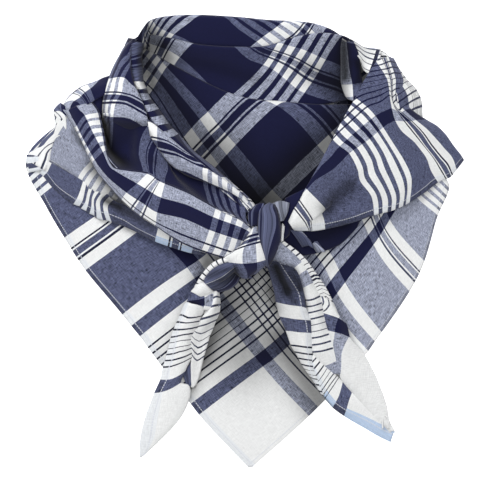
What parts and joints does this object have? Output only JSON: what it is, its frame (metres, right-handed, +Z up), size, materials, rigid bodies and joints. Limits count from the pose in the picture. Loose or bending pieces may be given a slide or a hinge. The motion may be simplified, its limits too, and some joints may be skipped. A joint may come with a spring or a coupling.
{
  "type": "tied kerchief",
  "caption": "Square navy and white check cotton kerchief, folded to a triangle, knotted in front with two free ends, lying on its back.",
  "frame": {"origin": "middle of the box in plan, on the surface that the kerchief lies on", "axes": "+Z up out of the surface, +Y towards the nape fold, -Y towards the triangle's point, +X to the right as seen from above"},
  "size_m": [0.4406, 0.4527, 0.0727],
  "materials": {
    "cotton_check": "yarn-dyed plain-weave cotton in a navy and white windowpane check, soft matt, with narrow stitched hems"
  },
  "bodies": {
    "root": {"kerchief": "cotton_check"}
  },
  "joints": []
}
